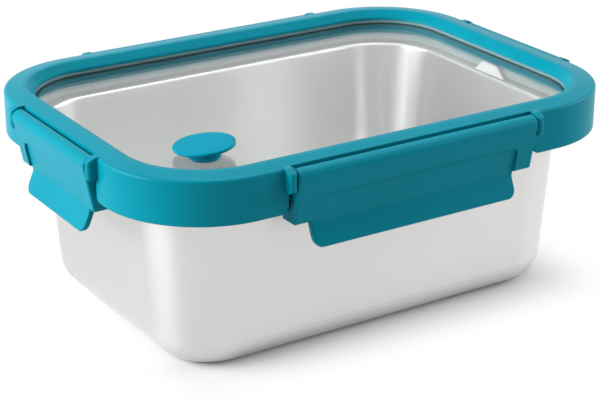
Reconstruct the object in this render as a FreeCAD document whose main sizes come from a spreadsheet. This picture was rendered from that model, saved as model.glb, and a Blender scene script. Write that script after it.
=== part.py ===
import FreeCAD, Part
import math
import os
import re

import Sketcher

# Driving dimensions of the lunch box, in millimetres and degrees
SIZES = {
    "lid_length": 210.0,
    "lid_width": 155.0,
    "lid_corner": 39.6,
    "edge_round": 1.2,
    "crown_drop": 1.1,
    "crown_run": 6.8,
    "ring_width": 9.0,
    "slope_run": 2.8,
    "slope_drop": 2.9,
    "shoulder_round": 0.9,
    "lip_thickness": 3.95,
    "skirt_drop": 2.6,
    "skirt_thickness": 2.2,
    "wall_depth": 5.4,
    "wall_clearance": 0.9,
    "ledge_depth": 0.6,
    "ledge_height": 1.5,
    "rim_height": 67.6,
    "rim_inset": 14.0,
    "rim_gap": 1.8,
    "bead_size": 2.5,
    "bead_round": 1.2,
    "sheet_thickness": 0.8,
    "rim_bend": 1.5,
    "tub_corner": 27.2,
    "draft_angle": 4.0,
    "base_round": 11.0,
    "glass_thickness": 2.0,
    "glass_clearance": 0.4,
    "gasket_thickness": 1.4,
    "gasket_setback": 0.1,
    "retainer_plate": 1.25,
    "retainer_clearance": 0.2,
    "retainer_leg": 2.6,
    "groove_width": 3.4,
    "groove_lip": 1.0,
    "groove_lip_drop": 0.8,
    "seal_height": 6.4,
    "seal_clearance": 0.1,
    "tab_gap": 0.4,
    "tab_sheet": 1.0,
    "tab_base": 18.6,
    "tab_tip": 10.0,
    "tab_shift": 3.0,
    "tab_height": 4.4,
    "tab_bridge": 1.0,
    "vent_from_end": 39.0,
    "vent_from_front": 37.5,
    "vent_bore": 5.9,
    "vent_clearance": 0.3,
    "vent_disc": 11.6,
    "vent_disc_thickness": 1.3,
    "vent_disc_rise": 3.0,
    "vent_tail": 0.8,
    "vent_tilt": 5.0,
    "vent_turn": 32.0,
    "vent_facet": 1.0,
    "pivot_proud": 0.6,
    "pivot_drop": 3.2,
    "stub_radius": 1.2,
    "stub_length": 1.8,
    "pivot_clearance": 0.06,
    "socket_depth": 2.1,
    "latch_recess": 3.0,
    "bay_brow": 1.3,
    "bay_brow_height": 3.6,
    "latch_gap": 0.3,
    "ear_proud": 3.8,
    "ear_flat": 0.8,
    "ear_slope": 1.6,
    "ear_drop": 0.8,
    "ear_height": 8.5,
    "ear_width": 2.9,
    "ear_round": 1.4,
    "ear_relief": 1.4,
    "notch_round": 2.2,
    "long_latch": 104.8,
    "short_latch": 60.6,
    "latch_proud": 4.25,
    "latch_rise": 1.7,
    "latch_thickness": 4.0,
    "latch_lean": 11.0,
    "latch_round": 0.8,
    "brow_round": 3.0,
    "knuckle": 1.5,
    "knuckle_bevel": 0.8,
    "hook_gap": 0.3,
    "hook_height": 4.8,
    "hook_bite": 3.5,
    "long_margin": 7.8,
    "short_margin": 6.2,
    "panel_depth": 1.0,
    "panel_drop": 8.9,
    "panel_round": 3.0,
    "finger_length": 9.3,
    "finger_flare": 23.0,
    "finger_thickness": 2.0,
    "finger_round": 3.5,
    "finger_edge": 0.6,
    "crease_drop": 1.3,
}

# Lengths that follow from the driving dimensions
DERIVED = {
    "half_length": "lid_length / 2",
    "half_width": "lid_width / 2",
    "skirt_bottom": "rim_height - skirt_drop",
    "wall_bottom": "rim_height + wall_clearance",
    "ledge_top": "wall_bottom + ledge_height",
    "groove_ceiling": "rim_height + seal_height",
    "glass_bottom": "groove_ceiling + retainer_plate",
    "glass_top": "glass_bottom + glass_thickness",
    "lip_under": "glass_top + gasket_thickness",
    "lid_top": "lip_under + lip_thickness",
    "lip_reach": "ring_width + slope_run",
    "crown_edge": "lid_top - crown_drop",
    "rim_edge": "skirt_thickness + rim_gap",
    "draft_run": "rim_height * tan(draft_angle)",
    "mouth_length": "half_length - rim_inset",
    "mouth_width": "half_width - rim_inset",
    "glass_edge": "wall_depth + glass_clearance",
    "retainer_edge": "wall_depth + retainer_clearance",
    "groove_start": "retainer_edge + retainer_leg",
    "groove_end": "groove_start + groove_width",
    "seal_start": "groove_start + seal_clearance",
    "seal_end": "groove_end - seal_clearance",
    "tab_face": "groove_end + groove_lip + tab_gap",
    "tab_bottom": "rim_height + tab_gap",
    "pivot_height": "lid_top - pivot_drop",
    "hook_top": "rim_height - bead_size - hook_gap - pivot_height",
    "latch_bottom": "hook_top - hook_height",
    "hook_reach": "rim_edge + hook_bite + pivot_proud",
    "panel_skin": "panel_depth / cos(latch_lean)",
    "crease": "latch_bottom - crease_drop",
    "finger_end": "crease - finger_length * cos(finger_flare)",
    "ear_top": "lid_top - ear_drop",
    "ear_bottom": "ear_top - ear_height",
    "vent_along": "half_length - vent_from_end",
    "vent_across": "half_width - vent_from_front",
    "stem_radius": "vent_bore - vent_clearance",
    "vent_bottom": "glass_bottom - vent_tail",
    "disc_under": "glass_top + vent_disc_rise",
}

# Places closer together than this count as one, in millimetres
SAME_PLACE = 0.01

doc = FreeCAD.newDocument("lunch_box")
sheet = doc.addObject("Spreadsheet::Sheet", "sizes")
for row, (alias, number) in enumerate(SIZES.items(), start=1):
    sheet.set(f"A{row}", alias)
    sheet.set(f"B{row}", str(number))
    sheet.setAlias(f"B{row}", alias)
doc.recompute()


def bound(text):
    """Write a formula in plain names as an expression on the sheet's cells."""
    def swap(match):
        word = match.group(0)
        if word in DERIVED:
            return "(" + bound(DERIVED[word]) + ")"
        return "sizes." + word if word in SIZES else word
    return re.sub(r"[a-z]+(_[a-z]+)*", swap, text)


def value(text):
    return float(sheet.evalExpression(bound(text)))


def face_at(drop):
    """Distance inward of the latch's leaning outer face, a drop below the pivot."""
    return f"({drop}) * tan(latch_lean) - latch_proud + pivot_proud"


# Sketches whose corners, radii and planes are bound to the sheet
def sketch_on(body, name, role="XY_Plane", offset="0"):
    sketch = body.newObject("Sketcher::SketchObject", f"{body.Name}_{name}")
    plane = next(item for item in body.Origin.OriginFeatures if item.Role == role)
    sketch.AttachmentSupport = [(plane, "")]
    sketch.MapMode = "FlatFace"
    sketch.setExpression("AttachmentOffset.Base.z", bound(offset))
    return sketch


def pin(sketch, kind, *target, at):
    number = sketch.addConstraint(Sketcher.Constraint(kind, *target, value(at)))
    sketch.setExpression(f"Constraints[{number}]", bound(at))


def polygon(sketch, *corners):
    first = sketch.GeometryCount
    points = [FreeCAD.Vector(value(x), value(y), 0) for x, y in corners]
    for start, end in zip(points, points[1:] + points[:1]):
        sketch.addGeometry(Part.LineSegment(start, end), False)
    for number, (x, y) in enumerate(corners):
        before = first + (number - 1) % len(corners)
        sketch.addConstraint(Sketcher.Constraint("Coincident", before, 2, first + number, 1))
        pin(sketch, "DistanceX", first + number, 1, at=x)
        pin(sketch, "DistanceY", first + number, 1, at=y)


def circle(sketch, x, y, radius):
    centre = FreeCAD.Vector(value(x), value(y), 0)
    number = sketch.addGeometry(Part.Circle(centre, FreeCAD.Vector(0, 0, 1), value(radius)), False)
    pin(sketch, "DistanceX", number, 3, at=x)
    pin(sketch, "DistanceY", number, 3, at=y)
    pin(sketch, "Radius", number, at=radius)


def rounded(sketch, half_x, half_y, corner):
    x, y, r = value(half_x), value(half_y), value(corner)
    first = sketch.GeometryCount
    ends = [(r - x, -y, x - r, -y), (x, r - y, x, y - r), (x - r, y, r - x, y), (-x, y - r, -x, r - y)]
    for x0, y0, x1, y1 in ends:
        sketch.addGeometry(Part.LineSegment(FreeCAD.Vector(x0, y0, 0), FreeCAD.Vector(x1, y1, 0)), False)
    for quarter, (cx, cy) in enumerate([(x - r, r - y), (x - r, y - r), (r - x, y - r), (r - x, r - y)]):
        ring = Part.Circle(FreeCAD.Vector(cx, cy, 0), FreeCAD.Vector(0, 0, 1), r)
        turn = (quarter - 1) * math.pi / 2
        sketch.addGeometry(Part.ArcOfCircle(ring, turn, turn + math.pi / 2), False)
    for side in range(4):
        arc = first + 4 + side
        level = "Vertical" if side % 2 else "Horizontal"
        sketch.addConstraint(Sketcher.Constraint(level, first + side))
        sketch.addConstraint(Sketcher.Constraint("Tangent", first + side, 2, arc, 1))
        sketch.addConstraint(Sketcher.Constraint("Tangent", arc, 2, first + (side + 1) % 4, 1))
        if side:
            sketch.addConstraint(Sketcher.Constraint("Equal", first + 4, arc))
    pin(sketch, "DistanceY", first, 1, at=f"-({half_y})")
    pin(sketch, "DistanceX", first + 1, 1, at=half_x)
    pin(sketch, "DistanceY", first + 2, 1, at=half_y)
    pin(sketch, "DistanceX", first + 3, 1, at=f"-({half_x})")
    pin(sketch, "Radius", first + 4, at=corner)


def inset(amount):
    """The lid's outline, drawn in by an amount: half length, half width, corner radius."""
    return f"half_length - ({amount})", f"half_width - ({amount})", f"lid_corner - ({amount})"


# Features
def extrude(kind, sketch, length, symmetric=False, reverse=False, taper=None):
    body = sketch.getParentGeoFeatureGroup()
    feature = body.newObject("PartDesign::" + kind, f"{sketch.Name}_{kind.lower()}")
    feature.Profile = sketch
    feature.SideType = "Symmetric" if symmetric else "One side"
    feature.Reversed = reverse
    feature.setExpression("Length", bound(length))
    if taper:
        feature.setExpression("TaperAngle", bound(taper))
    doc.recompute()
    return feature


def pad(sketch, length, **settings):
    return extrude("Pad", sketch, length, **settings)


def pocket(sketch, length, **settings):
    before = sketch.getParentGeoFeatureGroup().Shape.Volume
    feature = extrude("Pocket", sketch, length, **settings)
    if feature.Shape.Volume >= before:
        raise RuntimeError(f"{feature.Name} cuts nothing")
    return feature


def near(one, other):
    return abs(one - other) < SAME_PLACE


def edges_where(shape, test):
    """Names of the edges whose two ends and middle all pass a test."""
    found = []
    for number, edge in enumerate(shape.Edges, 1):
        first, last = edge.ParameterRange
        points = [edge.valueAt(first + (last - first) * share) for share in (0, 0.5, 1)]
        if all(test(point) for point in points):
            found.append(f"Edge{number}")
    return found


def outline_edges(shape, height, half_x, half_y, corner):
    """Names of the edges that lie on a rounded rectangle at a height."""
    level, x, y, r = value(height), value(half_x), value(half_y), value(corner)

    def on_outline(point):
        over_x = max(abs(point.x) - x + r, 0)
        over_y = max(abs(point.y) - y + r, 0)
        return near(point.z, level) and near(math.hypot(over_x, over_y), r)

    return edges_where(shape, on_outline)


def fillet(body, edges, radius):
    base = body.Tip
    feature = body.newObject("PartDesign::Fillet", base.Name + "_round")
    feature.Base = (base, edges)
    feature.setExpression("Radius", bound(radius))
    doc.recompute()
    return feature


def new_body(name):
    body = doc.addObject("PartDesign::Body", name)
    body.Label = name
    return body


# Steel tub: a deep-drawn shell with draft, a flat rim and a rolled edge
def make_tub():
    body = new_body("steel_tub")
    base = sketch_on(body, "base")
    foot = "mouth_length - draft_run", "mouth_width - draft_run", "tub_corner - draft_run"
    rounded(base, *foot)
    pad(base, "rim_height", taper="draft_angle")
    flange = sketch_on(body, "flange", offset="rim_height - sheet_thickness")
    rounded(flange, *inset("rim_edge"))
    pad(flange, "sheet_thickness")
    bead = sketch_on(body, "bead", offset="rim_height - bead_size")
    rounded(bead, *inset("rim_edge"))
    rounded(bead, *inset("rim_edge + bead_size"))
    pad(bead, "bead_size")
    mouth = [f"{side} - sheet_thickness" for side in ("mouth_length", "mouth_width", "tub_corner")]
    inside = sketch_on(body, "inside", offset="rim_height")
    rounded(inside, *mouth)
    pocket(inside, "rim_height - sheet_thickness", taper="-draft_angle")
    run = "(rim_height - sheet_thickness) * tan(draft_angle)"
    floor = [f"{side} - {run}" for side in mouth]
    fillet(body, outline_edges(body.Shape, "sheet_thickness", *floor), "base_round - sheet_thickness")
    fillet(body, outline_edges(body.Shape, "0", *foot), "base_round")
    fillet(body, outline_edges(body.Shape, "rim_height", *mouth), "rim_bend")
    under = "rim_height - sheet_thickness"
    bend = "sheet_thickness * tan(draft_angle)"
    throat = [f"{side} - {bend}" for side in ("mouth_length", "mouth_width", "tub_corner")]
    fillet(body, outline_edges(body.Shape, under, *throat), "rim_bend - sheet_thickness")
    edge = inset("rim_edge")
    inner = inset("rim_edge + bead_size")
    low = "rim_height - bead_size"
    rolled = outline_edges(body.Shape, "rim_height", *edge) + outline_edges(body.Shape, low, *edge)
    fillet(body, rolled + outline_edges(body.Shape, low, *inner), "bead_round")
    return body


# Lid frame: a ring with a skirt, a sloped window lip, and ears that carry the latches
def make_frame():
    body = new_body("lid_frame")
    block = sketch_on(body, "block", offset="skirt_bottom")
    rounded(block, *inset("0"))
    pad(block, "crown_edge - skirt_bottom")
    low = sketch_on(body, "crown_low", offset="crown_edge")
    rounded(low, *inset("0"))
    high = sketch_on(body, "crown_high", offset="lid_top")
    rounded(high, *inset("crown_run"))
    crown = body.newObject("PartDesign::AdditiveLoft", "lid_crown")
    crown.Profile = low
    crown.Sections = [high]
    crown.Ruled = True
    doc.recompute()
    steps = [
        ("skirt", "skirt_thickness", "skirt_bottom", "wall_bottom"),
        ("ledge", "wall_depth + ledge_depth", "wall_bottom", "ledge_top"),
        ("seat", "wall_depth", "ledge_top", "lip_under"),
        ("window", "lip_reach", "lip_under", "lid_top"),
    ]
    for name, depth, bottom, top in steps:
        step = sketch_on(body, name, offset=bottom)
        rounded(step, *inset(depth))
        pocket(step, f"{top} - ({bottom})", reverse=True)
    slope = sketch_on(body, "slope", offset="lid_top")
    rounded(slope, *inset("ring_width"))
    pocket(slope, "slope_drop", taper="-atan(slope_run / slope_drop)")
    fillet(body, outline_edges(body.Shape, "crown_edge", *inset("0")), "edge_round")
    fillet(body, outline_edges(body.Shape, "lid_top", *inset("ring_width")), "shoulder_round")
    for role, side, latch in (("YZ_Plane", "half_width", "long_latch"),
                              ("XZ_Plane", "half_length", "short_latch")):
        add_ears(body, role, side, latch)
    return body


def add_ears(body, role, side, latch):
    """Ears, latch bays and pivot sockets on two opposite sides of the frame."""
    bay = f"{latch} + 2 * latch_gap"
    axis = f"{side} + pivot_proud"
    ears = sketch_on(body, f"{latch}_ears", role)
    bays = sketch_on(body, f"{latch}_bays", role)
    below = sketch_on(body, f"{latch}_below", role)
    sockets = sketch_on(body, f"{latch}_sockets", role)
    low, high = "skirt_bottom - skirt_drop", "lid_top + edge_round"
    for sign in ("-", ""):
        outer = f"{sign}({axis} + 2 * latch_proud)"
        wall = f"{sign}({side} - latch_recess)"
        brow = f"{sign}({side} - latch_recess + bay_brow)"
        face = f"{sign}({side} + ear_proud)"
        knee = f"{sign}({side} + ear_flat)"
        polygon(ears, (face, "ear_bottom"), (wall, "ear_bottom"), (wall, "ear_top"), (knee, "ear_top"),
                (face, "ear_top - ear_slope"))
        polygon(bays, (outer, low), (wall, low), (wall, "lid_top - bay_brow_height"),
                (brow, "lid_top - bay_brow_height"), (brow, high), (outer, high))
        polygon(below, (outer, low), (wall, low), (wall, "ear_bottom"), (outer, "ear_bottom"))
        circle(sockets, f"{sign}({axis})", "pivot_height", "stub_radius + pivot_clearance")
    pad(ears, f"{bay} + 2 * ear_width", symmetric=True)
    pocket(bays, bay, symmetric=True)
    pocket(below, f"{bay} + 2 * ear_relief", symmetric=True)
    along = (lambda point: point.x) if role == "YZ_Plane" else (lambda point: point.y)
    out = (lambda point: point.y) if role == "YZ_Plane" else (lambda point: point.x)
    half, bottom, skin = value(f"{bay} + 2 * ear_relief") / 2, value("skirt_bottom"), value(side)
    proud = value(f"{side} + ear_proud")

    def at_notch(point):
        return near(abs(along(point)), half) and near(point.z, bottom) and abs(out(point)) < skin + SAME_PLACE

    def at_ear(point):
        return near(abs(out(point)), proud)

    fillet(body, edges_where(body.Shape, at_notch), "notch_round")
    fillet(body, edges_where(body.Shape, at_ear), "ear_round")
    pocket(sockets, f"{bay} + 2 * socket_depth", symmetric=True)


# Window pane with the vent's bore
def make_window():
    body = new_body("lid_window")
    pane = sketch_on(body, "pane", offset="glass_bottom")
    rounded(pane, *inset("glass_edge"))
    pad(pane, "glass_thickness")
    bore = sketch_on(body, "bore", offset="glass_bottom")
    circle(bore, "-vent_along", "-vent_across", "vent_bore")
    pocket(bore, "glass_thickness", reverse=True)
    return body


def ring(body, name, start, end, bottom, top):
    """A ring that follows the lid's outline between two insets and two heights."""
    band = sketch_on(body, name, offset=bottom)
    rounded(band, *inset(start))
    rounded(band, *inset(end))
    return pad(band, f"{top} - ({bottom})")


def make_gasket():
    body = new_body("window_gasket")
    ring(body, "band", "glass_edge", "lip_reach - gasket_setback", "glass_top", "lip_under")
    return body


def make_retainer():
    body = new_body("window_retainer")
    ring(body, "plate", "retainer_edge", "groove_end + groove_lip", "groove_ceiling", "glass_bottom")
    ring(body, "leg", "retainer_edge", "groove_start", "ledge_top", "groove_ceiling")
    lip_end = "groove_ceiling - groove_lip_drop"
    ring(body, "lip", "groove_end", "groove_end + groove_lip", lip_end, "groove_ceiling")
    return body


# Seal ring with a pull tab on its right-hand side
def make_seal():
    body = new_body("lid_seal")
    ring(body, "band", "seal_start", "seal_end", "rim_height", "groove_ceiling")
    bridge = sketch_on(body, "bridge", "XZ_Plane", offset="tab_shift")
    root = "half_length - (seal_start + seal_end) / 2"
    tip = "half_length - tab_face - tab_sheet"
    polygon(bridge, (tip, "tab_bottom"), (root, "tab_bottom"),
            (root, "tab_bottom + tab_bridge"), (tip, "tab_bottom + tab_bridge"))
    pad(bridge, "tab_tip", symmetric=True)
    tab = sketch_on(body, "tab", "YZ_Plane", offset=tip)
    polygon(tab, ("-tab_base / 2 - tab_shift", "tab_bottom"), ("tab_base / 2 - tab_shift", "tab_bottom"),
            ("tab_tip / 2 - tab_shift", "tab_bottom + tab_height"),
            ("-tab_tip / 2 - tab_shift", "tab_bottom + tab_height"))
    pad(tab, "tab_sheet")
    return body


# Vent plug: a thumb disc on a stem that fills the window's bore
def solid(kind, name, sizes, place):
    item = doc.addObject("Part::" + kind, name)
    for key, text in sizes.items():
        item.setExpression(key, bound(text))
    for axis, text in zip("xyz", place):
        item.setExpression(f"Placement.Base.{axis}", bound(text))
    return item


def make_vent():
    centre = ("-vent_along", "-vent_across")
    disc = solid("Cylinder", "vent_disc", {"Radius": "vent_disc", "Height": "vent_disc_thickness"},
                 (*centre, "disc_under"))
    facet = solid("Box", "vent_facet", {"Length": "vent_disc", "Width": "2 * vent_disc",
                                        "Height": "vent_disc_thickness"},
                  ("-vent_along + (vent_disc - vent_facet) * cos(vent_turn) - vent_disc * sin(vent_turn)",
                   "-vent_across - (vent_disc - vent_facet) * sin(vent_turn) - vent_disc * cos(vent_turn)",
                   "disc_under"))
    facet.Placement.Rotation = FreeCAD.Rotation(FreeCAD.Vector(0, 0, -1), value("vent_turn"))
    cut = doc.addObject("Part::Cut", "vent_cap")
    cut.Base, cut.Tool = disc, facet
    turn = math.radians(value("vent_turn"))
    seat = FreeCAD.Vector(value(centre[0]), value(centre[1]), value("disc_under"))
    tilt = FreeCAD.Rotation(FreeCAD.Vector(-math.sin(turn), -math.cos(turn), 0), value("vent_tilt"))
    cut.Placement = FreeCAD.Placement(FreeCAD.Vector(), tilt, seat)
    stem = solid("Cylinder", "vent_stem", {"Radius": "stem_radius",
                                           "Height": "disc_under + vent_disc_thickness / 2 - vent_bottom"},
                 (*centre, "vent_bottom"))
    plug = doc.addObject("Part::MultiFuse", "vent_plug")
    plug.Shapes = [cut, stem]
    plug.Label = "vent_plug"
    doc.recompute()
    return plug


# Latch, drawn about its pivot: y runs inward, z up, and its length lies along x
def make_latch(name, length, margin, turn, place):
    body = new_body(name)
    profile = sketch_on(body, "profile", "YZ_Plane")
    plate = "latch_thickness / cos(latch_lean)"
    outer_top = face_at("-latch_rise")
    outer_low = face_at("-(latch_bottom)")
    inner_low = f"{face_at('-(hook_top)')} + {plate}"
    inner_top = f"{face_at('2 * latch_rise')} + {plate}"
    polygon(profile, (outer_top, "latch_rise"), (outer_low, "latch_bottom"), ("hook_reach", "latch_bottom"),
            ("hook_reach", "hook_top"), (inner_low, "hook_top"), (inner_top, "-2 * latch_rise"),
            ("knuckle", "-latch_rise"), ("knuckle", "latch_rise - knuckle_bevel"),
            ("knuckle - knuckle_bevel", "latch_rise"))
    pad(profile, length, symmetric=True)
    half, low, high = value(length) / 2, value("latch_bottom"), value("latch_rise")
    foot, brow = value(outer_low), value(outer_top)

    def at_brow(point):
        return near(point.z, high) and near(point.y, brow)

    def at_end(point):
        return near(abs(point.x), half)

    def at_foot(point):
        return near(point.z, low) and near(point.y, foot)

    fillet(body, edges_where(body.Shape, at_brow), "brow_round")
    shape_finger(body, f"{length} - 2 * {margin}")
    fillet(body, edges_where(body.Shape, at_end) + edges_where(body.Shape, at_foot), "latch_round")
    stubs = sketch_on(body, "stubs", "YZ_Plane")
    circle(stubs, "0", "0", "stub_radius")
    pad(stubs, f"{length} + 2 * latch_gap + 2 * stub_length", symmetric=True)
    body.Placement = FreeCAD.Placement(FreeCAD.Vector(), FreeCAD.Rotation(FreeCAD.Vector(0, 0, 1), turn))
    for axis, text in zip("xyz", (*place, "pivot_height")):
        body.setExpression(f"Placement.Base.{axis}", bound(text))
    return body


def shape_finger(body, panel):
    """The sunk finger panel of a latch, and the flared tab that it runs down into."""
    half = value(panel) / 2
    recess = sketch_on(body, "recess", "YZ_Plane")
    top = f"{face_at('panel_drop')} + panel_skin"
    low = f"{face_at('-(latch_bottom) + crease_drop')} + panel_skin"
    proud = "-2 * latch_proud"
    polygon(recess, (top, "-panel_drop"), (low, "crease"), (proud, "crease"), (proud, "-panel_drop"))
    pocket(recess, panel, symmetric=True)
    roof = value("-panel_drop")

    def at_corner(point):
        return near(abs(point.x), half) and near(point.z, roof)

    fillet(body, edges_where(body.Shape, at_corner), "panel_round")
    tab = sketch_on(body, "finger", "YZ_Plane")
    skin = "finger_thickness / cos(finger_flare)"
    end = f"{low} - finger_length * sin(finger_flare)"
    mid = f"{face_at('-(latch_bottom) - crease_drop')} + panel_skin"
    polygon(tab, (low, "crease"), (end, "finger_end"), (f"{end} + {skin}", "finger_end"),
            (f"{low} + {skin}", "crease"), (f"{mid} + {skin}", "latch_bottom + crease_drop"),
            (mid, "latch_bottom + crease_drop"))
    pad(tab, panel, symmetric=True)
    foot = value("finger_end")

    def at_tip(point):
        return near(abs(point.x), half) and near(point.z, foot)

    fillet(body, edges_where(body.Shape, at_tip), "finger_round")
    slant = math.radians(value("finger_flare"))
    start, bend = value(low), value("crease")

    def on_face(point):
        off = (point.y - start) * math.cos(slant) - (point.z - bend) * math.sin(slant)
        return near(off, 0) and point.z < bend - SAME_PLACE

    def on_rim(point):
        return on_face(point) or (near(point.z, bend) and near(abs(point.x), half))

    fillet(body, edges_where(body.Shape, on_rim), "finger_edge")


parts = [make_tub(), make_frame(), make_window(), make_gasket(), make_retainer(), make_seal(), make_vent()]
front = "-(half_width + pivot_proud)"
rear = "half_width + pivot_proud"
left = "-(half_length + pivot_proud)"
right = "half_length + pivot_proud"
parts.append(make_latch("front_latch", "long_latch", "long_margin", 0, ("0", front)))
parts.append(make_latch("rear_latch", "long_latch", "long_margin", 180, ("0", rear)))
parts.append(make_latch("left_latch", "short_latch", "short_margin", -90, (left, "0")))
parts.append(make_latch("right_latch", "short_latch", "short_margin", 90, (right, "0")))

doc.recompute()
for item in doc.Objects:
    if "Invalid" in item.State or "Error" in item.State:
        raise RuntimeError(f"{item.Name} failed: {item.State}")
os.makedirs("parts", exist_ok=True)
for part in parts:
    if part.Shape.isNull() or not part.Shape.isValid() or len(part.Shape.Solids) != 1:
        raise RuntimeError(f"{part.Label} is not one valid solid")
    print(part.Label, round(part.Shape.Volume / 1000, 2), "cm3", part.Shape.BoundBox)
for part in parts:
    part.Shape.exportStep(f"parts/{part.Label}.step")
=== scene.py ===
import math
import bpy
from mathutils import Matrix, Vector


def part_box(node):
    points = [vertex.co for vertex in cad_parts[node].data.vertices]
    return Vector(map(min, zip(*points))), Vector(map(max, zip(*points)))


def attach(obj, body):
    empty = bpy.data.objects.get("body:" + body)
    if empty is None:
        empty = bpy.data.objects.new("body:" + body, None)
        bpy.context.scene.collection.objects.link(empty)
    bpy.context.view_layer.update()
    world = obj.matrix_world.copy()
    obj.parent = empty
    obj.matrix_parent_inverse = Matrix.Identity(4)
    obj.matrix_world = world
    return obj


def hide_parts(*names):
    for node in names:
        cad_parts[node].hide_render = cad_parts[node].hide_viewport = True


bl_info = {
    "name": "Lunch Box Finishes",
    "version": (1, 0, 0),
    "blender": (4, 5, 0),
    "location": "View3D > Sidebar > Lunch Box",
    "description": "Finishes, soft pieces and studio for a steel lunch box with a snap lid",
    "category": "Object",
}

import bmesh
import bpy
from bpy.props import FloatProperty, FloatVectorProperty, PointerProperty
from mathutils import Matrix, Vector

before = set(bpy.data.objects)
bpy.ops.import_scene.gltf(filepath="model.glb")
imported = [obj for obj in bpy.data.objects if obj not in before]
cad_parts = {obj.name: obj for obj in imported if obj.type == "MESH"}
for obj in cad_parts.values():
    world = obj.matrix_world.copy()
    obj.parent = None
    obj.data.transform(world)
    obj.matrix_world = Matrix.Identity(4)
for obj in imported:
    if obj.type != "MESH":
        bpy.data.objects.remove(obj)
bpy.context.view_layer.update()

LATCHES = ("front_latch", "rear_latch", "left_latch", "right_latch")
WINDOW_LOW, WINDOW_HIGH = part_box("lid_window")
SEAL_LOW, SEAL_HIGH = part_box("lid_seal")
GASKET_LOW, GASKET_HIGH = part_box("window_gasket")
LID_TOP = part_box("lid_frame")[1].z

# Fineness of the soft pieces' meshes
LID_CORNER_STEPS = 24
LIP_STEPS = 12
NOSE_STEPS = 8
TAB_CORNER_STEPS = 6
DISC_STEPS = 96
DISC_EDGE_STEPS = 10
SAME_POINT = 1e-7
SHARP_ANGLE = math.radians(40)

# Heights in the seal's section as shares of its height, and its waist as a share of its half width
SEAL_LIP_SHARE = 0.30
SEAL_WAIST_SHARE = 0.52
SEAL_SHOULDER_SHARE = 0.66
SEAL_WAIST_WIDTH = 0.84

# A quarter turn stretches the steel's reflections upright
UPRIGHT = 0.25

# Each lamp's name, place, width and height, and power in watts
LAMPS = (
    ("left_softbox", (-1.0, 0.31, 0.45), (0.9, 0.6), 29.0),
    ("top_softbox", (0.30, 0.20, 1.10), (1.0, 0.7), 9.0),
    ("right_fill", (0.95, -0.40, 0.50), (0.8, 0.6), 11.0),
)
LAMP_TARGET = (0, 0, 0.04)
WHITE = (1, 1, 1, 1)


def length(name, description, default):
    return FloatProperty(name=name, description=description, default=default,
                         subtype="DISTANCE", unit="LENGTH")


def angle(name, description, degrees):
    return FloatProperty(name=name, description=description, default=math.radians(degrees),
                         subtype="ANGLE")


def share(name, description, default):
    return FloatProperty(name=name, description=description, default=default,
                         subtype="FACTOR", min=0, max=1)


def spot(name, description, default):
    return FloatVectorProperty(name=name, description=description, default=default,
                               subtype="TRANSLATION", unit="LENGTH")


def colour(name, description, default):
    return FloatVectorProperty(name=name, description=description, default=default,
                               subtype="COLOR", min=0, max=1)


# Sizes and colours that a user would change
class FinishSettings(bpy.types.PropertyGroup):
    teal: colour("Lid teal", "Moulded plastic of the lid ring and latches", (0.0, 0.175, 0.235))
    # Painted shade: the retainer's colour is the lid teal darkened, standing in for its inner wall lying
    # in shadow under the window
    retainer: colour("Retainer", "Moulded plastic of the ring under the window", (0.022, 0.095, 0.125))
    vent_teal: colour("Vent teal", "Silicone of the vent plug", (0.0, 0.185, 0.265))
    steel: colour("Steel", "Satin stainless steel", (0.655, 0.65, 0.64))
    # Painted shade: the seal's colour is a darker copy of the pull tab's white silicone, standing in for
    # the shade it sits in under the window
    seal: colour("Seal", "Milky silicone of the seal", (0.15, 0.21, 0.215))
    pull: colour("Pull tab", "Thin white silicone of the seal's pull tab", (0.40, 0.42, 0.425))
    gasket: colour("Gasket", "Dark silicone between the window and the ring", (0.12, 0.20, 0.215))
    # The window's tint is partly the glass's own green cast and partly painted shade, deepened to darken
    # the tub's inside seen through it
    glass: colour("Glass", "Tint of the window", (0.865, 0.88, 0.875))
    seal_clear: share("Seal clearness", "How much light the milky seal lets through", 0.25)
    steel_brush: share("Steel brush", "How far the steel stretches its reflections", 0.7)
    steel_cloud: length("Steel cloud", "Size of the slow changes in the steel's tone", 0.06)
    steel_grain: length("Steel grain", "Spacing of the steel's satin grain", 0.0007)
    plastic_cloud: length("Plastic cloud", "Size of the slow changes in the plastic's tone", 0.03)
    plastic_grain: length("Plastic grain", "Spacing of the moulded grain", 0.00035)
    plastic_edge: length("Plastic edge", "Softness of moulded edges", 0.00045)
    silicone_cloud: length("Silicone cloud", "Size of the slow changes in the silicone's tone", 0.012)
    silicone_grain: length("Silicone grain", "Spacing of the silicone's matt grain", 0.0005)
    grain_height: length("Grain height", "Height of the grain on plastic and silicone", 0.00002)
    seam_drop: length("Seam drop", "Depth of the lid's parting line below its top", 0.0043)
    seam_width: length("Seam width", "Width of the lid's parting line", 0.0004)
    smear: length("Smear", "Size of the faint smears on the window", 0.02)


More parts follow.
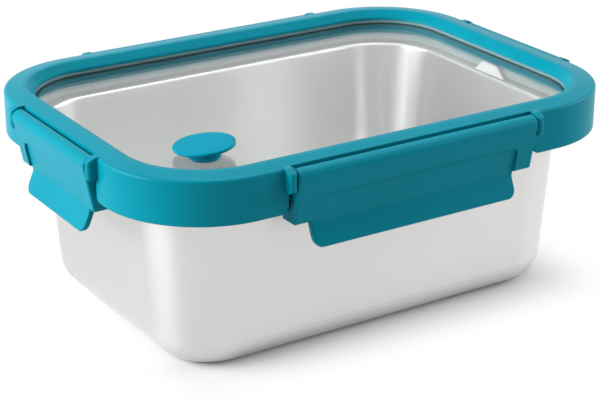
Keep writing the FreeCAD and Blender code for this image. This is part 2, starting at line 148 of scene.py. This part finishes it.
class SoftSettings(bpy.types.PropertyGroup):
    lid_corner: length("Lid corner", "Outer corner radius of the lid", 0.0396)
    lid_half: length("Lid half length", "Half the lid's length over its skirt", 0.105)
    seal_width: length("Seal width", "Width of the seal in its groove", 0.0032)
    gasket_width: length("Gasket width", "Width of the gasket under the ring's lip", 0.0059)
    gasket_nose: length("Gasket nose", "Depth of the gasket's rounded inner edge", 0.0003)
    tab_depth: length("Tab depth", "Pull tab's distance in from the skirt", 0.0130)
    tab_base: length("Tab base", "Width of the pull tab where it leaves the seal", 0.0186)
    tab_tip: length("Tab tip", "Width of the pull tab at its free edge", 0.010)
    tab_corner: length("Tab corner", "Corner radius of the pull tab's free edge", 0.0008)
    tab_shift: length("Tab shift", "Pull tab's distance in front of the middle", 0.003)
    tab_sheet: length("Tab sheet", "Thickness of the pull tab", 0.0010)
    tab_lift: length("Tab lift", "Height of the pull tab's foot over the seal's", 0.0004)
    tab_rise: length("Tab rise", "Height of the pull tab", 0.0044)
    bridge_length: length("Bridge length", "Length of the bridge from the seal to the tab", 0.0036)
    bridge_sheet: length("Bridge sheet", "Thickness of the bridge", 0.0010)
    bridge_inset: length("Bridge inset", "Distance of the bridge's middle in from the seal", 0.0008)
    vent_along: length("Vent along", "Vent centre, left of the middle", 0.066)
    vent_across: length("Vent across", "Vent centre, in front of the middle", 0.040)
    vent_disc: length("Vent disc", "Radius of the vent's thumb disc", 0.0115)
    vent_sheet: length("Vent sheet", "Thickness of the thumb disc", 0.0013)
    vent_rise: length("Vent rise", "Height of the disc over the window", 0.0030)
    vent_stem: length("Vent stem", "Radius of the stem above and below the window", 0.0056)
    vent_bead: length("Vent bead", "Radius of the stem where it presses on the window's bore", 0.00594)
    vent_swell: length("Vent swell", "Reach of the bead's slopes past the window's faces", 0.0002)
    vent_ease: length("Vent ease", "Chamfer at the stem's foot and under the disc", 0.0004)
    vent_tail: length("Vent tail", "Length of the stem below the window", 0.00075)
    vent_bevel: length("Vent bevel", "Depth of the slant on the disc's high side, at its top", 0.0015)
    vent_tilt: angle("Vent tilt", "Lean of the thumb disc", 5)
    vent_turn: angle("Vent turn", "Way the high side of the disc faces", -32)


class StageSettings(bpy.types.PropertyGroup):
    camera_place: spot("Camera place", "Where the camera stands", (-0.3501, -0.5504, 0.2975))
    camera_target: spot("Camera target", "What the camera looks at", (0.0, 0.0007, 0.0313))
    camera_lens: FloatProperty(name="Lens", description="Focal length on a 36 mm wide sensor",
                               default=105.37, unit="CAMERA")
    floor: colour("Floor", "Paper of the floor", (0.62, 0.62, 0.62))
    floor_size: length("Floor size", "Half the floor's width", 6.0)
    foot: spot("Foot", "Half length and half width of the tub's flat base", (0.075, 0.048, 0.0))
    shadow: length("Shadow", "How far the shadow reaches past the tub's base", 0.037)
    ambient: share("Ambient", "Strength of the light from all round", 0.22)


# Shader maths
class Value:
    """A shader socket that takes part in Python arithmetic."""

    def __init__(self, finish, socket):
        self.finish = finish
        self.socket = socket

    def combine(self, operation, first, second):
        return self.finish.node("Math", {"operation": operation}, in0=first, in1=second)

    def __add__(self, other):
        return self.combine("ADD", self, other)

    def __radd__(self, other):
        return self.combine("ADD", other, self)

    def __mul__(self, other):
        return self.combine("MULTIPLY", self, other)

    def __rmul__(self, other):
        return self.combine("MULTIPLY", other, self)


class Finish:
    """A node tree and the one way in which its nodes are made."""

    def __init__(self, tree):
        self.tree = tree
        tree.nodes.clear()

    def node(self, kind, settings=None, output=0, **sockets):
        """Makes a node; a socket is given by its name, or by its number where names repeat."""
        made = self.tree.nodes.new("ShaderNode" + kind)
        for key, setting in (settings or {}).items():
            setattr(made, key, setting)
        for key, given in sockets.items():
            found = int(key[2:]) if key[:2] == "in" and key[2:].isdigit() else key.replace("_", " ")
            socket = made.inputs[found]
            if isinstance(given, Value):
                self.tree.links.new(given.socket, socket)
            else:
                socket.default_value = given
        return Value(self, made.outputs[output]) if made.outputs else None

    def noise(self, size, detail=2.0, roughness=0.5):
        """Noise whose features are about a size across, from 0 to 1."""
        place = self.node("TexCoord", output="Object")
        return self.node("TexNoise", Vector=place, Scale=1 / size, Detail=detail, Roughness=roughness)

    def mottle(self, cloud, rgb, dark, light):
        """A colour that drifts between a darker and a lighter shade of itself."""
        return self.node("Mix", {"data_type": "RGBA"}, output=2,
                         in0=cloud, in6=shade(rgb, dark), in7=shade(rgb, light))

    def ease(self, value, start, end):
        """Goes smoothly from 0 to 1 as a value goes from start to end."""
        return self.node("MapRange", {"interpolation_type": "SMOOTHSTEP"},
                         in0=value, in1=start, in2=end, in3=0.0, in4=1.0)


def new_finish(name):
    material = bpy.data.materials.new(name)
    material.use_nodes = True
    return material, Finish(material.node_tree)


def shade(rgb, factor=1.0):
    return tuple(min(part * factor, 1.0) for part in rgb) + (1.0,)


def steel_finish():
    """Satin steel: fine grain, slow changes of tone, reflections stretched upright."""
    look = bpy.context.scene.lunch_finish
    material, finish = new_finish("satin_steel")
    cloud = finish.noise(look.steel_cloud)
    grain = finish.noise(look.steel_grain, 4.0, 0.6)
    tone = finish.mottle(cloud, look.steel, 0.95, 1.03)
    shader = finish.node("BsdfPrincipled", Base_Color=tone, Metallic=1.0,
                         Anisotropic=look.steel_brush, Anisotropic_Rotation=UPRIGHT,
                         Roughness=0.28 + 0.02 * grain + 0.03 * cloud)
    finish.node("OutputMaterial", Surface=shader)
    return material


def plastic_finish(name, rgb, seam_height=None):
    """Moulded plastic: fine matt grain, soft edges, and a faint parting line where one is asked for."""
    look = bpy.context.scene.lunch_finish
    material, finish = new_finish(name)
    cloud = finish.noise(look.plastic_cloud)
    grain = finish.noise(look.plastic_grain, 2.0, 0.6)
    tone = finish.mottle(cloud, rgb, 0.93, 1.06)
    soft = finish.node("Bevel", {"samples": 6}, Radius=look.plastic_edge)
    height = grain
    if seam_height:
        place = finish.node("TexCoord", output="Object")
        level = finish.node("SeparateXYZ", output="Z", Vector=place)
        half = look.seam_width / 2
        line = finish.ease(level, seam_height - half, seam_height + half)
        height = 0.35 * grain + 4.0 * line
    relief = finish.node("Bump", Height=height, Distance=look.grain_height, Strength=0.5, Normal=soft)
    shader = finish.node("BsdfPrincipled", Base_Color=tone, Normal=relief, Specular_IOR_Level=0.05,
                         Roughness=0.24 + 0.10 * grain + 0.05 * cloud)
    finish.node("OutputMaterial", Surface=shader)
    return material


def silicone_finish(name, rgb, clear=0.0):
    """Soft moulded silicone, from opaque to milky."""
    look = bpy.context.scene.lunch_finish
    material, finish = new_finish(name)
    cloud = finish.noise(look.silicone_cloud)
    grain = finish.noise(look.silicone_grain)
    tone = finish.mottle(cloud, rgb, 0.94, 1.05)
    relief = finish.node("Bump", Height=grain, Distance=look.grain_height, Strength=0.4)
    shader = finish.node("BsdfPrincipled", Base_Color=tone, Roughness=0.46 + 0.12 * grain, Normal=relief,
                         Transmission_Weight=clear, IOR=1.41, Specular_IOR_Level=0.04)
    finish.node("OutputMaterial", Surface=shader)
    return material


def glass_finish():
    """Clear tempered glass that lets the lamps' light through."""
    look = bpy.context.scene.lunch_finish
    material, finish = new_finish("window_glass")
    # Partly painted shade: the tint is deepened so the tub's inside looks darker through the window
    tint_and_painted_shade = shade(look.glass)
    smear = finish.noise(look.smear, 3.0)
    clear = finish.node("BsdfPrincipled", Base_Color=tint_and_painted_shade, Transmission_Weight=1.0, IOR=1.5,
                        Roughness=0.004 + 0.006 * smear)
    through = finish.node("BsdfTransparent", Color=tint_and_painted_shade)
    shadow = finish.node("LightPath", output="Is Shadow Ray")
    shader = finish.node("MixShader", in0=shadow, in1=clear, in2=through)
    finish.node("OutputMaterial", Surface=shader)
    return material


def dress(node, material):
    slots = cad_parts[node].data.materials
    slots.clear()
    slots.append(material)


# Soft pieces
def add_piece(name, mesh_maker, material, node, body):
    """Makes a soft piece in place of a node, which it hides, on the node's body and with its own material.
    """
    made = bmesh.new()
    mesh_maker(made)
    bmesh.ops.recalc_face_normals(made, faces=made.faces)
    mesh = bpy.data.meshes.new(name)
    made.to_mesh(mesh)
    made.free()
    mesh.shade_smooth()
    mesh.set_sharp_from_angle(angle=SHARP_ANGLE)
    mesh.materials.append(material)
    piece = bpy.data.objects.new(name, mesh)
    bpy.context.scene.collection.objects.link(piece)
    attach(piece, body)
    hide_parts(node)


def arc(centre, radii, start, end, steps):
    """Points along a stretch of an ellipse, from a start to an end in degrees."""
    turns = [math.radians(start + (end - start) * step / steps) for step in range(steps + 1)]
    return [(centre[0] + radii[0] * math.cos(turn), centre[1] + radii[1] * math.sin(turn))
            for turn in turns]


def skin(made, loops):
    """Joins each loop of points to the next one with four-sided faces."""
    for here, after in zip(loops, loops[1:]):
        for number in range(len(here)):
            following = (number + 1) % len(here)
            made.faces.new((here[number], here[following], after[following], after[number]))


def lid_outline(depth):
    """Points of the lid's rounded outline, drawn in by a depth, anticlockwise from the right."""
    soft = bpy.context.scene.lunch_soft
    radius = soft.lid_corner - depth
    along = soft.lid_half - soft.lid_corner
    across = WINDOW_HIGH.y - WINDOW_HIGH.x + along
    corners = ((along, across), (-along, across), (-along, -across), (along, -across))
    points = []
    for quarter, corner in enumerate(corners):
        points += arc(corner, (radius, radius), 90 * quarter, 90 * quarter + 90, LID_CORNER_STEPS)
    return points


def sweep_ring(made, profile):
    """Carries a closed profile of (depth, height) points round the lid's outline."""
    loops = [[made.verts.new((x, y, height)) for x, y in lid_outline(depth)] for depth, height in profile]
    skin(made, loops + loops[:1])


def make_seal_ring(made):
    """A seal with a square head in the groove, a waist, and a round lip on the rim."""
    soft = bpy.context.scene.lunch_soft
    outer = soft.lid_half - SEAL_HIGH.x
    inner = outer + soft.seal_width
    middle = (outer + inner) / 2
    half = soft.seal_width / 2
    low, high = SEAL_LOW.z, SEAL_HIGH.z
    lip_height = SEAL_LIP_SHARE * (high - low)
    narrow = low + SEAL_WAIST_SHARE * (high - low)
    shoulder = low + SEAL_SHOULDER_SHARE * (high - low)
    waist = SEAL_WAIST_WIDTH * half
    lip = arc((middle, low + lip_height), (half, lip_height), 180, 360, LIP_STEPS)
    inner_side = [(middle + waist, narrow), (inner, shoulder), (inner, high)]
    outer_side = [(outer, high), (outer, shoulder), (middle - waist, narrow)]
    sweep_ring(made, lip + inner_side + outer_side)


def make_pull_tab(made):
    """A rounded trapezoid that stands off the seal on a short bridge."""
    soft = bpy.context.scene.lunch_soft
    corner = soft.tab_corner
    bottom = SEAL_LOW.z + soft.tab_lift
    top = bottom + soft.tab_rise
    base, tip = soft.tab_base / 2, soft.tab_tip / 2
    edge = arc((tip - corner, top - corner), (corner, corner), 30, 90, TAB_CORNER_STEPS)
    outline = [(-base, bottom), (base, bottom)] + edge + [(-y, z) for y, z in reversed(edge)]
    outer_face = soft.lid_half - soft.tab_depth
    inner_face = outer_face - soft.tab_sheet
    near, far = [[made.verts.new((x, y - soft.tab_shift, z)) for y, z in outline]
                 for x in (inner_face, outer_face)]
    made.faces.new(near)
    made.faces.new(list(reversed(far)))
    skin(made, [near, far])
    bridge_middle = SEAL_HIGH.x - soft.seal_width - soft.bridge_inset
    root = Vector((bridge_middle, -soft.tab_shift, bottom + soft.bridge_sheet / 2))
    bridge_size = Vector((soft.bridge_length, soft.tab_tip, soft.bridge_sheet))
    bmesh.ops.create_cube(made, size=1.0, matrix=Matrix.LocRotScale(root, None, bridge_size))


def make_gasket_band(made):
    """A flat band with a rounded inner edge."""
    soft = bpy.context.scene.lunch_soft
    outer = soft.lid_half - GASKET_HIGH.x
    inner = outer + soft.gasket_width
    low, high = GASKET_LOW.z, GASKET_HIGH.z
    nose = arc((inner - soft.gasket_nose, (low + high) / 2), (soft.gasket_nose, (high - low) / 2),
               -90, 90, NOSE_STEPS)
    sweep_ring(made, nose + [(outer, high), (outer, low)])


def vent_profile(soft, under):
    """Radii and heights of the vent plug, from the middle of its foot to the middle of its top."""
    stem, bead = soft.vent_stem, soft.vent_bead
    ease, swell = soft.vent_ease, soft.vent_swell
    foot = WINDOW_LOW.z - soft.vent_tail
    top = under + soft.vent_sheet
    half = soft.vent_sheet / 2
    tail = [(0.0, foot), (stem - ease, foot), (stem, WINDOW_LOW.z - swell)]
    press = [(bead, WINDOW_LOW.z + swell / 2), (bead, WINDOW_HIGH.z - swell / 2)]
    neck = [(stem, WINDOW_HIGH.z + swell), (stem, under - ease), (stem + ease, under)]
    edge = arc((soft.vent_disc - half, under + half), (half, half), -90, 90, DISC_EDGE_STEPS)
    return tail + press + neck + edge + [(soft.vent_disc / 2, top), (0.0, top)]


def within(number):
    return min(max(number, 0.0), 1.0)


def make_vent_plug(made):
    """A turned plug whose thumb disc leans, with a slant on its high side."""
    soft = bpy.context.scene.lunch_soft
    under = WINDOW_HIGH.z + soft.vent_rise
    way = Vector((math.cos(soft.vent_turn), math.sin(soft.vent_turn)))
    lean = math.tan(soft.vent_tilt)

    def leaning(radius, height, turn):
        """Where a point of the turned plug goes when the disc is slanted and leans."""
        flat = Vector((radius * math.cos(turn), radius * math.sin(turn)))
        along = flat.dot(way)
        slant = soft.vent_bevel * within((height - under) / soft.vent_sheet)
        over = max(along - soft.vent_disc + slant, 0.0)
        flat -= way * over
        rise = (along - over) * lean * within((height - WINDOW_HIGH.z) / soft.vent_rise)
        return flat.x - soft.vent_along, flat.y - soft.vent_across, height + rise

    turns = [2 * math.pi * step / DISC_STEPS for step in range(DISC_STEPS)]
    loops = [[made.verts.new(leaning(radius, height, turn)) for turn in turns]
             for radius, height in vent_profile(soft, under)]
    skin(made, loops)
    bmesh.ops.remove_doubles(made, verts=made.verts, dist=SAME_POINT)


# Operators
class LUNCH_OT_tub(bpy.types.Operator):
    """Gives the drawn tub its satin steel"""
    bl_idname = "lunch.tub"
    bl_label = "Finish Tub"

    def execute(self, context):
        dress("steel_tub", steel_finish())
        return {"FINISHED"}


class LUNCH_OT_lid(bpy.types.Operator):
    """Gives the lid ring and the latches their moulded plastic, and the retainer a darker teal of painted
    shade
    """
    bl_idname = "lunch.lid"
    bl_label = "Finish Lid and Latches"

    def execute(self, context):
        look = context.scene.lunch_finish
        dress("lid_frame", plastic_finish("lid_plastic", look.teal, LID_TOP - look.seam_drop))
        # Painted shade: the retainer takes the darker retainer teal instead of the lid's own teal
        dress("window_retainer", plastic_finish("retainer_painted_shade", look.retainer))
        plastic = plastic_finish("latch_plastic", look.teal)
        for node in LATCHES:
            dress(node, plastic)
        return {"FINISHED"}


class LUNCH_OT_window(bpy.types.Operator):
    """Glazes the window"""
    bl_idname = "lunch.window"
    bl_label = "Finish Window"

    def execute(self, context):
        dress("lid_window", glass_finish())
        return {"FINISHED"}


class LUNCH_OT_seals(bpy.types.Operator):
    """Makes the lid's seal ring with its pull tab, and the window's gasket"""
    bl_idname = "lunch.seals"
    bl_label = "Make Seals"

    def execute(self, context):
        look = context.scene.lunch_finish
        # Painted shade: the seal's silicone is darker than the pull tab's, though both are one silicone
        milky = silicone_finish("seal_silicone", look.seal, look.seal_clear)
        white = silicone_finish("tab_silicone", look.pull)
        dark = silicone_finish("gasket_silicone", look.gasket)
        add_piece("seal_ring", make_seal_ring, milky, "lid_seal", "lid")
        add_piece("pull_tab", make_pull_tab, white, "lid_seal", "lid")
        add_piece("gasket_band", make_gasket_band, dark, "window_gasket", "lid")
        return {"FINISHED"}


class LUNCH_OT_vent(bpy.types.Operator):
    """Makes the vent plug"""
    bl_idname = "lunch.vent"
    bl_label = "Make Vent Plug"

    def execute(self, context):
        teal = silicone_finish("vent_silicone", context.scene.lunch_finish.vent_teal)
        add_piece("thumb_plug", make_vent_plug, teal, "vent_plug", "vent")
        return {"FINISHED"}


def aim(name, data, place, target):
    """Puts a lamp or the camera at a place, turned to a target."""
    holder = bpy.data.objects.new(name, data)
    holder.location = place
    holder.rotation_euler = (Vector(target) - Vector(place)).to_track_quat("-Z", "Y").to_euler()
    bpy.context.scene.collection.objects.link(holder)
    return holder


class LUNCH_OT_stage(bpy.types.Operator):
    """Sets the floor, the soft light and the camera"""
    bl_idname = "lunch.stage"
    bl_label = "Set Stage"

    def execute(self, context):
        stage = context.scene.lunch_stage
        self.set_floor(stage)
        self.set_light(context.scene, stage)
        self.set_camera(context.scene, stage)
        return {"FINISHED"}

    def set_floor(self, stage):
        """Paper that takes the shadow near the tub and turns to plain white further out."""
        reach = stage.floor_size
        corners = [(-reach, -reach, 0), (reach, -reach, 0), (reach, reach, 0), (-reach, reach, 0)]
        mesh = bpy.data.meshes.new("floor")
        mesh.from_pydata(corners, [], [(0, 1, 2, 3)])
        material, finish = new_finish("floor_paper")
        place = finish.node("TexCoord", output="Object")
        either = finish.node("VectorMath", {"operation": "ABSOLUTE"}, in0=place)
        past = finish.node("VectorMath", {"operation": "SUBTRACT"}, in0=either, in1=stage.foot)
        beyond = finish.node("VectorMath", {"operation": "MAXIMUM"}, in0=past, in1=(0, 0, 0))
        away = finish.node("VectorMath", {"operation": "LENGTH"}, output="Value", in0=beyond)
        far = finish.ease(away, 0.0, stage.shadow)
        paper = finish.node("BsdfPrincipled", Base_Color=shade(stage.floor), Roughness=0.6)
        white = finish.node("Emission", Color=WHITE, Strength=1.0)
        shader = finish.node("MixShader", in0=far, in1=paper, in2=white)
        finish.node("OutputMaterial", Surface=shader)
        mesh.materials.append(material)
        floor = bpy.data.objects.new("floor", mesh)
        bpy.context.scene.collection.objects.link(floor)

    def set_light(self, scene, stage):
        """Three lamps in a room that looks white but gives only a little light."""
        world = bpy.data.worlds.new("studio")
        world.use_nodes = True
        finish = Finish(world.node_tree)
        camera = finish.node("LightPath", output="Is Camera Ray")
        glossy = finish.node("LightPath", output="Is Glossy Ray")
        clear = finish.node("LightPath", output="Is Transmission Ray")
        seen = finish.node("Math", {"operation": "ADD", "use_clamp": True}, in0=camera + glossy, in1=clear)
        soft = finish.node("Background", Color=WHITE, Strength=stage.ambient)
        white = finish.node("Background", Color=WHITE, Strength=1.0)
        shader = finish.node("MixShader", in0=seen, in1=soft, in2=white)
        finish.node("OutputWorld", Surface=shader)
        scene.world = world
        for name, place, size, power in LAMPS:
            lamp = bpy.data.lights.new(name, "AREA")
            lamp.shape = "RECTANGLE"
            lamp.size, lamp.size_y = size
            lamp.energy = power
            aim(name, lamp, place, LAMP_TARGET)

    def set_camera(self, scene, stage):
        data = bpy.data.cameras.new("camera")
        data.lens = stage.camera_lens
        scene.camera = aim("camera", data, stage.camera_place, stage.camera_target)
        scene.view_settings.view_transform = "Standard"


class LUNCH_PT_sidebar(bpy.types.Panel):
    """Lists the steps and the settings of the lunch box"""
    bl_idname = "LUNCH_PT_sidebar"
    bl_label = "Lunch Box"
    bl_space_type = "VIEW_3D"
    bl_region_type = "UI"
    bl_category = "Lunch Box"

    def draw(self, context):
        for step in STEPS:
            self.layout.operator(step.bl_idname)
        for group in (context.scene.lunch_finish, context.scene.lunch_soft, context.scene.lunch_stage):
            for key in group.__annotations__:
                self.layout.prop(group, key)


STEPS = (LUNCH_OT_tub, LUNCH_OT_lid, LUNCH_OT_window, LUNCH_OT_seals, LUNCH_OT_vent, LUNCH_OT_stage)
CLASSES = (FinishSettings, SoftSettings, StageSettings, *STEPS, LUNCH_PT_sidebar)


def register():
    for item in CLASSES:
        bpy.utils.register_class(item)
    bpy.types.Scene.lunch_finish = PointerProperty(type=FinishSettings)
    bpy.types.Scene.lunch_soft = PointerProperty(type=SoftSettings)
    bpy.types.Scene.lunch_stage = PointerProperty(type=StageSettings)


def unregister():
    del bpy.types.Scene.lunch_stage
    del bpy.types.Scene.lunch_soft
    del bpy.types.Scene.lunch_finish
    for item in reversed(CLASSES):
        bpy.utils.unregister_class(item)


def main():
    register()
    bpy.ops.lunch.tub()
    bpy.ops.lunch.lid()
    bpy.ops.lunch.window()
    bpy.ops.lunch.seals()
    bpy.ops.lunch.vent()
    bpy.ops.lunch.stage()


if __name__ == "__main__":
    main()
